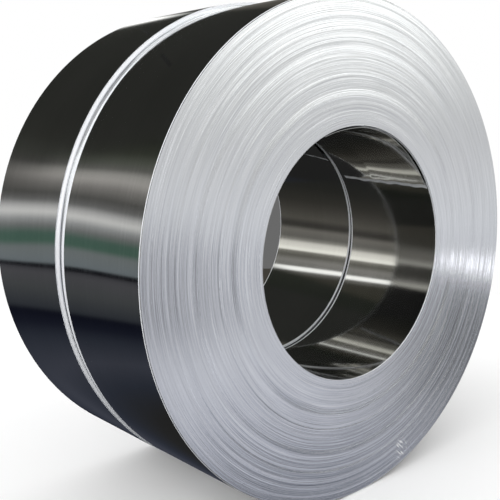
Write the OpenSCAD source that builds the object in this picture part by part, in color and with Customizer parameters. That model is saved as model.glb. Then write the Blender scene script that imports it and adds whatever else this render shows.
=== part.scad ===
// Slit steel coil: one mother coil cut down its middle into two narrow coils that stay
// together, end to end. Both lie on their rims on the floor z = 0, with their axes along Y.

/* [Strip] */
// Thickness of the strip, and so of one turn, in the front coil
strip_t = 1; // [0.6:0.1:2]
// Width of the front coil's strip
front_w = 260; // [150:1:400]
// Width of the back coil's strip
back_w = 260; // [150:1:400]
// Gap that stays open between the two coils
knife_gap = 4; // [1:0.5:12]

/* [Winding] */
// Bore left by the recoiler's mandrel
bore_d = 508; // [406:1:610]
// Number of turns wound on each coil
turns = 254; // [120:1:400]
// How much thicker the back coil's strip is, as a share of the front coil's
crown_share = 0.02; // [0:0.005:0.04]
// Where the outer end of the strip lies on the barrel, in degrees up from +X
tail_angle = -35; // [-60:1:-20]

/* [Ends] */
// Number of turns that sit back on each end face, each one a fine groove
set_back_turns = 22; // [6:1:30]
// How far a set-back turn lies below its end face
set_back = 0.8; // [0.4:0.1:1.5]
// Burr chamfer on the outer ends' edges
edge_chamfer = 1.5; // [0.5:0.1:3]
// How far the front coil's outer turns fall away beside the knife gap
front_drop = 2; // [1:0.5:5]
// Width of the front coil's strip over which they fall away
front_roll = 12; // [4:1:20]
// How far the back coil's outer turns fall away beside the knife gap
back_drop = 4; // [1:0.5:5]
// Width of the back coil's strip over which they fall away
back_roll = 7; // [4:1:20]

/* [Hidden] */
$fn = 180;
bore_r = bore_d / 2;
front_r = bore_r + turns * strip_t;
back_t = strip_t * (1 + crown_share);
back_r = bore_r + turns * back_t;
back_y = front_w + knife_gap;
overall_w = back_y + back_w;
front_phase = 20;
back_phase = 95;
other_end_phase = 70;
tail_overlap = 0.02;
room = 10;
cut_over = 1;

// Half section of one coil as (radius, distance along the axis). drop and roll shape the
// outer edge at each end: [at the low end, at the high end].
module half_section(r, w, drop, roll)
    polygon([
        [bore_r + edge_chamfer, 0],
        [r - drop[0], 0],
        [r, roll[0]],
        [r, w - roll[1]],
        [r - drop[1], w],
        [bore_r + edge_chamfer, w],
        [bore_r, w - edge_chamfer],
        [bore_r, edge_chamfer]
    ]);

// Radius of set-back turn k: even steps across the wound wall, moved off the even
// spacing by two sines so that the rings fall at uneven distances.
function set_back_r(k, r, t, phase) =
    let (wall = r - bore_r - 16 * t, step = wall / set_back_turns)
    bore_r + 8 * t + step * (k + 0.5 + 0.28 * sin(137 * k + phase) + 0.14 * sin(61 * k));

// The set-back turns of one end face, as rings a turn or two wide to be cut away.
module set_back_rings(r, t, phase)
    for (k = [0 : set_back_turns - 1])
        translate([set_back_r(k, r, t, phase), -cut_over])
            square([t * (k % 3 == 0 ? 2 : 1), set_back + cut_over]);

// What the outermost turn leaves free ahead of the strip's outer end: a crescent one turn
// deep at the end of the strip, running out half a turn further on.
module tail_step(r, t, w)
    rotate([0, -tail_angle, 0])
        translate([0, -cut_over, 0])
            rotate([-90, 0, 0])
                linear_extrude(w + 2 * cut_over)
                    difference() {
                        translate([-r - room, -r - room])
                            square([2 * (r + room), r + room]);
                        translate([-t / 2, 0])
                            circle(r - t / 2 + tail_overlap);
                    }

// One wound coil with its low end at y = 0 and its axis on Y.
module wound_coil(r, t, w, drop, roll, phase)
    difference() {
        rotate([-90, 0, 0])
            rotate_extrude()
                difference() {
                    half_section(r, w, drop, roll);
                    set_back_rings(r, t, phase);
                    translate([0, w])
                        mirror([0, 1])
                            set_back_rings(r, t, phase + other_end_phase);
                }
        tail_step(r, t, w);
    }

module front_slit_coil()
    color([0.78, 0.79, 0.81])
        translate([0, -overall_w / 2, front_r])
            wound_coil(front_r, strip_t, front_w,
                [edge_chamfer, front_drop], [edge_chamfer, front_roll], front_phase);

module back_slit_coil()
    color([0.74, 0.75, 0.77])
        translate([0, back_y - overall_w / 2, back_r])
            wound_coil(back_r, back_t, back_w,
                [back_drop, edge_chamfer], [back_roll, edge_chamfer], back_phase);

front_slit_coil();
back_slit_coil();
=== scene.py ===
import math
import random
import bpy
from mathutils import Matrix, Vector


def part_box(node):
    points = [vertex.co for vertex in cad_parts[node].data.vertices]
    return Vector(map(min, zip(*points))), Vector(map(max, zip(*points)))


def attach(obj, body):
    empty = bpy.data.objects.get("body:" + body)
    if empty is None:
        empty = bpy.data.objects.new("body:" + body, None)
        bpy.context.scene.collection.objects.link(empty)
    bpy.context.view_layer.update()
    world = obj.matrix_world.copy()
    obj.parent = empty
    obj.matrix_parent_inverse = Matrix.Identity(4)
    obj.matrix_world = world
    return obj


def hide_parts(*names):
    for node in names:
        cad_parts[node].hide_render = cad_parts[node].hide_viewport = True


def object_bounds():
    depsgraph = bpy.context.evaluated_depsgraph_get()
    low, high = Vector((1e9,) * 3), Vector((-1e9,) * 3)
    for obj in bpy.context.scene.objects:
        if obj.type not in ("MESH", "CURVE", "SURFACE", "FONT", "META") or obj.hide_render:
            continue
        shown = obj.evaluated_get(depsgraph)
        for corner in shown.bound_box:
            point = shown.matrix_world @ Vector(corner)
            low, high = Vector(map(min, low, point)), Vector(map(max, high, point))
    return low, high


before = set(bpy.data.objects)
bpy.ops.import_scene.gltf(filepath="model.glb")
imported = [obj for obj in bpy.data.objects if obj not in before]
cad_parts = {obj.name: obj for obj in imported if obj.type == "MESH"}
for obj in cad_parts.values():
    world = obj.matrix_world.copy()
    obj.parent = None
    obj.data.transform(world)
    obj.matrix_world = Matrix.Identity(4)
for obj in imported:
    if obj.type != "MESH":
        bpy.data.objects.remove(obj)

from types import SimpleNamespace

import bmesh
import bpy
from mathutils import Matrix, Vector

cad_low, cad_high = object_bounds()

# ---------------------------------------------------------------------------
# Wound walls
# One wide coil of bright strip was slit down its middle into two narrow ones, which lie
# end to end on their rims. A wall is all the turns of one coil but its first and last,
# wound tight. Each turn's slit edge shows, and the outer ones are rolled over at the seam.
# ---------------------------------------------------------------------------
strip_t = 0.001
bore_r = 0.254
wall_from_turn = 3
around = 160
crisp = math.radians(7)


def measured_coil(node, facing):
    """What the pieces of one coil are placed by. Depths run from its open end to the seam."""
    low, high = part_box(node)
    outer_r = -low.x
    open_y, seam_y = (low.y, high.y) if facing < 0 else (high.y, low.y)
    turns = round((outer_r - bore_r) / strip_t)
    return SimpleNamespace(
        node=node, r=outer_r, z=outer_r, open_y=open_y, inward=-facing,
        width=abs(seam_y - open_y), turns=turns, pitch=(outer_r - bore_r) / turns,
    )


front = measured_coil("front_slit_coil", -1)
back = measured_coil("back_slit_coil", 1)


def place(coil, r, angle, depth):
    """A point at a radius, at an angle up from +X seen from the front, at a depth."""
    return Vector((r * math.cos(angle), coil.open_y + coil.inward * depth, coil.z + r * math.sin(angle)))


def finished(bm, name, *materials):
    """Makes the bmesh an object that lies where it was modelled and rides on the one body."""
    mesh = bpy.data.meshes.new(name)
    bm.to_mesh(mesh)
    bm.free()
    piece = bpy.data.objects.new(name, mesh)
    bpy.context.collection.objects.link(piece)
    for material in materials:
        mesh.materials.append(material)
    mesh.set_sharp_from_angle(angle=crisp)
    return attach(piece, "root")


class Socket:
    """A shader socket that can be written into sums."""

    def __init__(self, tree, source):
        self.tree, self.source = tree, source

    def node(self, kind, settings=None, output=0, **inputs):
        """Adds a node. Its settings come first, then the values or links of its sockets."""
        made = self.tree.nodes.new(kind)
        for key, value in (settings or {}).items():
            if key == "stops":
                ramp = made.color_ramp.elements
                while len(ramp) < len(value):
                    ramp.new(0.5)
                for stop, (at, colour) in zip(ramp, value):
                    stop.position, stop.color = at, (*colour, 1)
            else:
                setattr(made, key, value)
        for key, value in inputs.items():
            slot = made.inputs[int(key[1:])] if key[1:].isdigit() else made.inputs[key.replace("_", " ")]
            if isinstance(value, Socket):
                self.tree.links.new(value.source, slot)
            else:
                slot.default_value = value
        return Socket(self.tree, made.outputs[output])

    def math(self, operation, *others):
        values = {f"i{n}": value for n, value in enumerate((self, *others))}
        return self.node("ShaderNodeMath", {"operation": operation}, **values)

    def __add__(self, other):
        return self.math("ADD", other)

    def __sub__(self, other):
        return self.math("SUBTRACT", other)

    def __rsub__(self, other):
        return self.node("ShaderNodeMath", {"operation": "SUBTRACT"}, i0=other, i1=self)

    def __mul__(self, other):
        return self.math("MULTIPLY", other)

    __radd__ = __add__
    __rmul__ = __mul__

    def split(self):
        outputs = self.node("ShaderNodeSeparateXYZ", i0=self).source.node.outputs
        return [Socket(self.tree, output) for output in outputs]

    def join(self, y, z):
        return self.node("ShaderNodeCombineXYZ", i0=self, i1=y, i2=z)

    def step(self, low, high, start=0.0, end=1.0):
        """Goes smoothly from start to end while the value goes from low to high."""
        return self.node("ShaderNodeMapRange", {"interpolation_type": "SMOOTHSTEP"},
                         i0=self, i1=low, i2=high, i3=start, i4=end)

    def noise(self, scale, detail=2.0, roughness=0.5):
        return self.node("ShaderNodeTexNoise", i0=self, Scale=scale, Detail=detail, Roughness=roughness)

    def blend(self, low, high):
        """A colour between two others, by this value. Either may be a socket."""
        low, high = (colour if isinstance(colour, Socket) else (*colour, 1) for colour in (low, high))
        return self.node("ShaderNodeMix", {"data_type": "RGBA"}, output=2, i0=self, i6=low, i7=high)

    def bump(self, distance, strength=1.0):
        return self.node("ShaderNodeBump", i0=strength, i1=distance, Height=self)


def new_metal(name):
    """A bare metal, with the socket that holds its object coordinates and its shader node."""
    material = bpy.data.materials.new(name)
    material.use_nodes = True
    shader = material.node_tree.nodes["Principled BSDF"]
    shader.inputs["Metallic"].default_value = 1.0
    spot = Socket(material.node_tree, None).node("ShaderNodeTexCoord", output=3)
    return material, spot, shader


def feed(shader, **sockets):
    for key, value in sockets.items():
        value.tree.links.new(value.source, shader.inputs[key.replace("_", " ")])


def from_axis(spot, coil):
    """A spot's x and y, and its height above a coil's axis."""
    x, y, z = spot.split()
    return x, y, z - coil.z


def slit_edges(coil):
    """Slit edges of the turns: satin steel in fine rings that fade along their arcs."""
    metal, spot, shader = new_metal(coil.node + "_edges")
    x, y, up = from_axis(spot, coil)
    r = (x * x + up * up).math("SQRT")
    fine = (r * 1100).join(x * 5, up * 5).noise(1.0, 1.0)
    coarse = (r * 260).join(x * 6 + 7, up * 6).noise(1.0, 3.0, 0.7)
    patches = x.join(y, up).noise(4.0, 2.0)
    tone = fine * 0.4 + coarse * 0.45 + patches * 0.15
    # One knock on the rim, low on the side, left a few short slanting nicks. They are given less metal, so
    # they show pale: a painted glint on real nicks.
    knock_x, knock_up = 0.275 * coil.r, -0.895 * coil.r
    across, along = x - knock_x, up - knock_up
    knocked = (across * across + along * along).math("SQRT").step(0.010, 0.034, 1, 0)
    painted_nick_glint = ((across + along) * 190).join((across - along) * 26, 0.0).noise(1.0, 0.0).step(0.57, 0.66)
    feed(
        shader,
        Base_Color=tone.step(0.3, 0.7).blend((0.74, 0.755, 0.78), (0.90, 0.91, 0.925)),
        Roughness=tone.step(0.25, 0.75, 0.14, 0.09),
        # Less metal in the nicks makes them pale and bright, a painted glint.
        Metallic=0.93 - painted_nick_glint * knocked * 0.75,
        Normal=(fine * 0.86 + coarse * 0.14).bump(0.00028, 0.6),
    )
    return metal


def strip_surface(coil):
    """Bright cold-rolled strip: nearly a mirror, drawn into faint lines round the coil.

    One dull scrape, from handling, slants across its upper shoulder."""
    metal, spot, shader = new_metal(coil.node + "_strip")
    x, y, up = from_axis(spot, coil)
    lines = (y * 420).join(x * 1.5, up * 1.5).noise(1.0, 3.0, 0.6)
    cloud = x.join(y, up).noise(6.0, 3.0)
    aside, beyond = x - coil.scrape[0], y - coil.scrape[1]
    off_line = (aside * 0.93 - beyond * 0.37).math("ABSOLUTE")
    on_line = (aside * 0.37 + beyond * 0.93).math("ABSOLUTE")
    scrape = off_line.step(0.0015, 0.004, 1, 0) * on_line.step(0.030, 0.045, 1, 0) * up.step(0.0, 0.01)
    bright = (lines * 0.5 + cloud * 0.5).step(0.3, 0.7).blend((0.52, 0.525, 0.51), (0.59, 0.59, 0.58))
    feed(
        shader,
        Base_Color=(scrape * 0.8).blend(bright, (0.08, 0.08, 0.09)),
        Roughness=(lines * 0.6 + cloud * 0.4).step(0.3, 0.75, 0.055, 0.105) + scrape * 0.15,
        Normal=cloud.bump(0.0002, 0.12),
    )
    return metal


def highlight_painted_steel(coil):
    """The rolled lips along the seam: the same steel, made pale and half dull, a painted highlight."""
    metal, spot, shader = new_metal(coil.node + "_lips")
    # Little metal and a near white colour: these edges show bright as a painted highlight.
    shader.inputs["Metallic"].default_value = 0.3
    x, y, up = from_axis(spot, coil)
    lines = (y * 900).join(x * 6, up * 6).noise(1.0, 2.0)
    feed(
        shader,
        Base_Color=lines.step(0.3, 0.7).blend((0.82, 0.84, 0.88), (0.95, 0.96, 0.98)),
        Roughness=lines.step(0.3, 0.7, 0.45, 0.3),
        Normal=lines.bump(0.0002, 0.4),
    )
    return metal


# A turn's slit edge covers most of its pitch. It is set back a little, and leans in or out.
edge_from, edge_to = 0.06, 0.94
least_set_back, most_set_back = 0.0001, 0.0005
most_wander = 0.000012
most_lean = 0.000018
# Groups of turns whose edges all lean out, as shares of the coil's radius, with their spread.
slipped_turns = ((0.63, 0.006), (0.79, 0.005), (0.70, 0.002), (0.87, 0.002))
slipped_lean = (0.00001, 0.00004)
random.seed(12)


def open_end_profile(coil, first, last):
    """Radius and depth across the open end: two points for each turn's edge."""
    points = []
    set_back = 0.0003
    for turn in range(first, last):
        r = bore_r + turn * coil.pitch
        set_back += random.uniform(-most_wander, most_wander)
        set_back = min(max(set_back, least_set_back), most_set_back)
        lean = random.uniform(-most_lean, most_lean)
        for share, spread in slipped_turns:
            if abs(r - share * coil.r) < spread:
                lean = random.uniform(*slipped_lean)
        points.append((r + edge_from * coil.pitch, set_back - lean))
        points.append((r + edge_to * coil.pitch, set_back + lean))
    return points


rim_depth = 0.002
seam_groove = 0.006
hair = 0.0001


def wound_wall(coil):
    """A turned ring whose profile runs up the bore, across the open end, over and back."""
    inner, outer = bore_r + wall_from_turn * strip_t, coil.r - 1.5 * strip_t
    w = coil.width
    profile = [(inner, w), (inner, rim_depth)]
    profile += open_end_profile(coil, wall_from_turn, coil.turns - 2)
    profile += [(outer, rim_depth)]
    profile += [(outer, w - coil.seam_roll), (coil.r - coil.seam_drop, w), (coil.r - seam_groove, w)]
    profile += [(coil.r - seam_groove, w - seam_groove), (coil.r - 2 * seam_groove, w - seam_groove)]
    profile += [(coil.r - 2 * seam_groove, w)]
    bm = bmesh.new()
    ring = [bm.verts.new(place(coil, r, 0.0, depth)) for r, depth in profile]
    loop = [bm.edges.new((a, b)) for a, b in zip(ring, ring[1:] + ring[:1])]
    bmesh.ops.spin(bm, geom=ring + loop, cent=(0, 0, coil.z), axis=(0, 1, 0), dvec=(0, 0, 0),
                   angle=math.tau, steps=around, use_merge=True)
    bm.normal_update()
    bmesh.ops.recalc_face_normals(bm, faces=bm.faces)
    for face in bm.faces:
        spot = face.calc_center_median()
        r = math.hypot(spot.x, spot.z - coil.z)
        depth = abs(spot.y - coil.open_y)
        level = abs(face.normal.y) < 0.02
        # The rolled lips at the seam take the pale lip steel, a painted highlight.
        if depth > w - coil.seam_roll and r > coil.r - seam_groove + hair:
            face.material_index = 2
        elif level and (r > outer - hair or r < inner + hair):
            face.material_index = 1
    name = coil.node.replace("slit_coil", "turns")
    return finished(bm, name, coil.edge_metal, coil.strip_metal, coil.lip_metal)


front.seam_roll, front.seam_drop = 0.012, 0.002
back.seam_roll, back.seam_drop = 0.007, 0.004
front.scrape = (-0.348, -0.114)
back.scrape = (-0.275, 0.060)
for coil in (front, back):
    coil.edge_metal = slit_edges(coil)
    coil.strip_metal = strip_surface(coil)
    # The pale lip steel is a painted highlight wherever it lies.
    coil.lip_metal = highlight_painted_steel(coil)
    wall = wound_wall(coil)
    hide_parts(coil.node)

# ---------------------------------------------------------------------------
# Outer wraps
# The last turn of each coil. It ends low on the far side, in a square-cut step one strip
# thick, and sinks by half its thickness as it goes round.
# ---------------------------------------------------------------------------
tail_angle = math.radians(-35)
sinks = 0.5 * strip_t
wrap_set_in = 0.001
edge_break = 0.0012


def swept_turn(coil, name, section, radius_at, start):
    """One turn of strip: a closed section of (height off the wrap, depth) swept round the axis."""
    bm = bmesh.new()
    corner = bm.verts.layers.int.new("corner")
    first = []
    for n, (lift, depth) in enumerate(section):
        vert = bm.verts.new(place(coil, radius_at(0.0) + lift, start, depth))
        vert[corner] = n
        first.append(vert)
    cap = bm.faces.new(first)
    for step in range(1, around + 1):
        share = step / around
        made = bmesh.ops.extrude_face_region(bm, geom=[cap])["geom"]
        for vert in (v for v in made if isinstance(v, bmesh.types.BMVert)):
            lift, depth = section[vert[corner]]
            vert.co = place(coil, radius_at(share) + lift, start - math.tau * share, depth)
        if step > 1:
            bmesh.ops.delete(bm, geom=[cap], context="FACES_ONLY")
        cap = next(f for f in made if isinstance(f, bmesh.types.BMFace))
    bm.normal_update()
    bmesh.ops.recalc_face_normals(bm, faces=bm.faces)
    # Leaning chamfers, bevels and square-cut ends take the pale lip steel, a painted highlight along the
    # edges.
    for face in bm.faces:
        leans = face.normal.y ** 2 > 0.01
        face.material_index = 1 if leans or len(face.verts) > 4 else 0
    return finished(bm, name, coil.strip_metal, coil.lip_metal)


for coil in (front, back):
    near, far = wrap_set_in, coil.width - coil.seam_roll
    section = [(0, near + edge_break), (0, far), (-strip_t, far), (-strip_t, near), (-edge_break / 2, near)]
    wrap = swept_turn(coil, coil.node.replace("slit_coil", "outer_wrap"), section,
                      lambda share: coil.r - sinks * share, tail_angle)

# ---------------------------------------------------------------------------
# Inner wraps
# The first turn of each coil, wound on the mandrel. It has sprung away from the wall at
# the top, where it starts, and meets the turn behind it over a third of the way round.
# ---------------------------------------------------------------------------
wrap_start = math.radians(88)
sprung = 0.002
meets_after = 0.375
rim_bevel, rim_ease = 0.0025, 0.0007
bore_bevel, bore_ease = 0.0045, 0.0009


def sprung_radius(share):
    return bore_r + sprung * min(share / meets_after, 1.0)


for coil in (front, back):
    w = coil.width
    section = [(rim_ease, 0), (0, rim_bevel), (0, w - bore_bevel), (bore_ease, w), (strip_t, w), (strip_t, 0)]
    wrap = swept_turn(coil, coil.node.replace("slit_coil", "inner_wrap"), section, sprung_radius, wrap_start)

# ---------------------------------------------------------------------------
# Inner strip ends
# The loose starting end of each strip, left inside the bore. It came off the mandrel
# buckled, so it stands off the wall in soft waves up to a ragged cut end.
# ---------------------------------------------------------------------------
end_t = 0.0009
root_gap = 0.0004
least_gap = 0.0003
wave_height = 0.0020
turned_in = 0.004
# From here to its cut end the sheet takes the pale lip steel, a painted highlight along the ragged edge.
painted_highlight_from = 0.965
raggedness = 0.0016


def loose_end(coil, root, tips, lift, near, far):
    """A bent sheet from its root on the wall to its tip, by angles up from +X in degrees.

    The cut end runs askew, so its angle has two values: at the near and far depths."""
    bm = bmesh.new()
    bmesh.ops.create_grid(bm, x_segments=72, y_segments=56, size=0.5)
    painted_end_highlight = bm.verts.layers.int.new("painted_end_highlight")
    for vert in bm.verts:
        along, across = vert.co.x + 0.5, vert.co.y + 0.5
        stand = root_gap + lift * along ** 1.3 * (0.35 + 0.65 * min(1, 1.6 * across))
        wave = wave_height * math.sin(math.tau * (1.5 * along + 0.3 * across + 0.1))
        stand += wave * min(1, 4 * along) * (1 - 0.4 * along)
        stand -= turned_in * max(0, along - 0.97) / 0.03
        ragged = raggedness * along ** 12 * math.sin(31 * across) * math.sin(9 * across + 1)
        tip = math.radians(tips[0] + (tips[1] - tips[0]) * across)
        angle = math.radians(root) + (tip - math.radians(root)) * along + ragged / bore_r
        vert.co = place(coil, bore_r - max(stand, least_gap), angle, near + (far - near) * across)
        vert[painted_end_highlight] = 1 if along > painted_highlight_from else 0
    bmesh.ops.solidify(bm, geom=bm.faces[:], thickness=end_t)
    bm.normal_update()
    bmesh.ops.recalc_face_normals(bm, faces=bm.faces)
    for face in bm.faces:
        # Faces at the cut end take the pale lip steel: a painted highlight.
        face.material_index = 1 if all(vert[painted_end_highlight] for vert in face.verts) else 0
    end = finished(bm, coil.node.replace("slit_coil", "inner_strip_end"), coil.strip_metal, coil.lip_metal)


loose_end(front, root=112, tips=(28.7, 33.2), lift=0.009, near=0.004, far=0.235)
loose_end(back, root=118, tips=(58, 43), lift=0.006, near=0.03, far=0.253)

# ---------------------------------------------------------------------------
# Studio
# A pale floor, a soft box and a white room. Only the bright steel sees the dim shop
# around it, with its long lamps, and a patch of painted grey shade stands behind the bores.
# ---------------------------------------------------------------------------
bm = bmesh.new()
bmesh.ops.create_circle(bm, cap_ends=True, segments=96, radius=2.0)
mesh = bpy.data.meshes.new("floor")
bm.to_mesh(mesh)
bm.free()
floor = bpy.data.objects.new("floor", mesh)
bpy.context.collection.objects.link(floor)
paint = bpy.data.materials.new("floor_paint")
paint.use_nodes = True
shader = paint.node_tree.nodes["Principled BSDF"]
shader.inputs["Base Color"].default_value = (0.93, 0.93, 0.93, 1)
shader.inputs["Roughness"].default_value = 0.8
mesh.materials.append(paint)
floor.visible_glossy = False
floor.visible_diffuse = False

world = bpy.data.worlds.new("room")
bpy.context.scene.world = world
world.use_nodes = True
tree = world.node_tree
look = Socket(tree, None).node("ShaderNodeTexCoord", output=0)
east, north, height = look.split()
elevation = height.math("ARCSINE") * (180 / math.pi)
azimuth = east.math("ARCTAN2", north) * (180 / math.pi)
lowest, highest = -45.0, 60.0


def tones(level, stops):
    """The colour of a wall by height: each stop is an elevation in degrees and a colour."""
    rise = level.node("ShaderNodeMapRange", i0=level, i1=lowest, i2=highest, i3=0.0, i4=1.0)
    places = [((degrees - lowest) / (highest - lowest), colour) for degrees, colour in stops]
    return rise.node("ShaderNodeValToRGB", {"stops": places}, i0=rise)


# The wall that the outside of the coils mirrors: dark, with lamps and a green stripe.
# The lamps hang nearer on the left, so they are seen lower towards the north.
bend = azimuth.step(-28, -18, 0.0, 4.5) * elevation.step(-16, -4)
outside = tones(elevation + bend, [
    (-38, (0.024, 0.024, 0.024)), (-34, (0.03, 0.035, 0.05)), (-30, (0.055, 0.06, 0.08)),
    (-25.5, (0.03, 0.035, 0.05)), (-23, (0.012, 0.014, 0.025)), (-20.5, (0.006, 0.007, 0.015)),
    (-19.5, (0.04, 0.045, 0.055)), (-15, (0.075, 0.08, 0.085)), (-11, (0.09, 0.09, 0.10)),
    (-9.8, (0.07, 0.07, 0.08)), (-9.3, (0.003, 0.003, 0.006)), (-8.5, (0.003, 0.003, 0.006)),
    (-8.1, (0.20, 0.23, 0.25)), (-4.2, (0.21, 0.235, 0.24)), (-2.8, (0.075, 0.15, 0.115)),
    (-0.8, (0.08, 0.15, 0.12)), (1, (0.21, 0.22, 0.22)), (2.7, (0.40, 0.41, 0.42)),
    (4.5, (0.86, 0.86, 0.85)), (6, (0.60, 0.60, 0.60)), (7.6, (0.18, 0.18, 0.18)),
    (9.8, (0.10, 0.10, 0.095)), (12.8, (0.26, 0.25, 0.24)), (15.2, (0.50, 0.48, 0.46)),
    (17.0, (0.42, 0.41, 0.39)), (18.6, (0.15, 0.15, 0.14)), (21, (0.10, 0.11, 0.09)),
    (24, (0.045, 0.05, 0.038)), (28, (0.028, 0.032, 0.024)), (40, (0.022, 0.025, 0.02)),
])
far_dim = azimuth.step(-24, -19) * elevation.step(4, 8) * 0.75
outside = far_dim.blend(outside, (0.03, 0.03, 0.028))
# The wall that the bores mirror: olive dark, with one broad lamp and one narrow one.
inside = tones(elevation, [
    (-43, (0.024, 0.025, 0.024)), (-33, (0.030, 0.030, 0.027)), (-24, (0.048, 0.046, 0.040)),
    (-19, (0.070, 0.066, 0.058)), (-11, (0.115, 0.11, 0.095)), (-7, (0.055, 0.052, 0.047)),
    (-5, (0.06, 0.057, 0.05)), (-2, (0.22, 0.21, 0.19)), (3, (0.17, 0.165, 0.15)),
    (5.5, (0.34, 0.33, 0.30)), (7.5, (0.95, 0.93, 0.86)), (10, (1.1, 1.08, 1.0)),
    (12.8, (1.45, 1.43, 1.32)), (14, (0.28, 0.27, 0.24)), (17, (0.15, 0.145, 0.125)),
    (20.5, (0.33, 0.32, 0.30)), (24.3, (0.24, 0.235, 0.22)), (25.3, (1.7, 1.7, 1.66)),
    (27, (1.7, 1.7, 1.66)), (28, (0.20, 0.195, 0.18)), (31, (0.055, 0.053, 0.042)),
    (40, (0.048, 0.047, 0.036)), (46, (0.07, 0.068, 0.06)),
])
# The wall opposite that one, which only shows after two bounces inside a bore.
opposite = tones(elevation, [
    (-44, (0.09, 0.088, 0.08)), (-41, (0.45, 0.44, 0.41)), (-38, (0.95, 0.93, 0.88)),
    (-34, (0.45, 0.44, 0.42)), (-30, (0.18, 0.175, 0.165)), (-24, (0.10, 0.098, 0.09)),
    (-14, (0.11, 0.108, 0.10)), (-10, (0.50, 0.49, 0.46)), (-8, (0.75, 0.74, 0.70)),
    (-5, (0.50, 0.49, 0.46)), (0, (0.30, 0.29, 0.27)), (6, (0.30, 0.29, 0.27)),
    (12, (0.20, 0.195, 0.18)), (19, (0.09, 0.086, 0.075)), (52, (0.075, 0.070, 0.058)),
])
# The open bright side of the shop, which the near end faces, with a dark pillar, a dim bay
# and one bright slot.
bright_side = tones(elevation, [
    (-40, (0.05, 0.055, 0.07)), (-28, (0.08, 0.09, 0.12)), (-24, (0.40, 0.42, 0.49)),
    (-20, (0.64, 0.65, 0.71)), (-15, (0.54, 0.55, 0.59)), (-9, (0.70, 0.71, 0.75)),
    (-5, (0.66, 0.67, 0.69)), (-1, (0.60, 0.60, 0.61)), (3, (0.58, 0.585, 0.575)),
    (7, (0.90, 0.91, 0.89)), (11, (1.65, 1.66, 1.62)), (19, (1.65, 1.66, 1.62)),
    (20.5, (0.35, 0.35, 0.34)), (24, (0.35, 0.35, 0.34)), (25.5, (0.95, 0.95, 0.93)),
    (30, (0.80, 0.80, 0.79)), (32, (0.22, 0.22, 0.21)), (44, (0.10, 0.10, 0.10)),
    (46, (0.45, 0.45, 0.45)), (50, (0.45, 0.45, 0.45)), (52, (0.08, 0.08, 0.08)),
])
pillar = azimuth.step(121, 136, 1, 0) * azimuth.step(95, 105)
pillar = pillar * elevation.step(-30, -21) * elevation.step(-14, -6, 1, 0) * 0.97
bay = azimuth.step(142, 149) * azimuth.step(165, 175, 1, 0)
bay = bay * elevation.step(-19, -14) * elevation.step(-9, -4, 1, 0) * 0.8
slot_light = azimuth.step(104, 108) * azimuth.step(119, 124, 1, 0)
slot_light = slot_light * elevation.step(-11.3, -10.8) * elevation.step(-9.7, -9.2, 1, 0)
bright_side = pillar.blend(bright_side, (0.03, 0.033, 0.04))
bright_side = bay.blend(bright_side, (0.12, 0.125, 0.15))
bright_side = slot_light.blend(bright_side, (2.5, 2.5, 2.6))
# The whole shop, by direction, with a doorway through to the bright side and a pale roof.
shop = (azimuth - elevation.step(-30, -24, 8, 0)).step(-36, -32).blend(inside, outside)
shop = (azimuth.step(34, 37) * azimuth.step(58, 62, 1, 0)).blend(shop, opposite)
doorway = azimuth.step(-2, 3) * azimuth.step(30, 34, 1, 0)
doorway = doorway * elevation.step(-17, -12) * elevation.step(15, 19, 1, 0)
shop = (north.step(-0.35, -0.10) * (1 - doorway)).blend(bright_side, shop)
shop = elevation.step(58, 72).blend(shop, (0.85, 0.86, 0.87))
# What lights the dull finishes: a white room, brightest on the west and dark below.
soft_light = height.step(-0.4, 0.05).blend((0.05, 0.055, 0.06), (1, 1, 1))
west_panel = (0 - east).step(0.3, 0.9) * height.step(-0.25, 0.1)
soft_light = west_panel.blend(soft_light, (2.6, 2.6, 2.6))
# What the camera sees: the white room, and a patch of painted shade straight behind the bores, dark grey in
# two tones, darker below.
painted_shade_patch = azimuth.step(37.5, 38) * azimuth.step(44, 44.5, 1, 0)
painted_shade_patch = painted_shade_patch * elevation.step(-14, -13.8) * elevation.step(-4, -3.8, 1, 0)
shade_patch_tones = elevation.step(-10.2, -10.1).blend((0.05, 0.047, 0.04), (0.14, 0.14, 0.14))
seen = painted_shade_patch.blend((1, 1, 1), shade_patch_tones)
camera_ray = look.node("ShaderNodeLightPath", output=0)
glossy_ray = look.node("ShaderNodeLightPath", output=3)
room = glossy_ray.blend(camera_ray.blend(soft_light, seen), shop)
tree.links.new(room.source, tree.nodes["Background"].inputs[0])

light = bpy.data.lights.new("soft_box", "AREA")
light.shape = "RECTANGLE"
light.size, light.size_y = 2.0, 2.0
light.energy = 8
soft_box = bpy.data.objects.new("soft_box", light)
bpy.context.collection.objects.link(soft_box)
hung_at, facing_away = Vector((0.8, -1.6, 2.4)), Vector((0.8, -1.6, 2.0))
turned = facing_away.to_track_quat("Z", "Y").to_matrix().to_4x4()
soft_box.matrix_world = Matrix.Translation(hung_at) @ turned
soft_box.visible_camera = False

lens = bpy.data.cameras.new("camera")
lens.lens = 54.6
lens.shift_x = -0.14
looks_down, looks_right = 8.77, 44.81
camera = bpy.data.objects.new("camera", lens)
bpy.context.collection.objects.link(camera)
camera.location = (-1.120, cad_low.y - 1.0136, 0.750)
camera.rotation_euler = (math.radians(90 - looks_down), 0, math.radians(-looks_right))
bpy.context.scene.camera = camera
bpy.context.scene.view_settings.view_transform = "Standard"
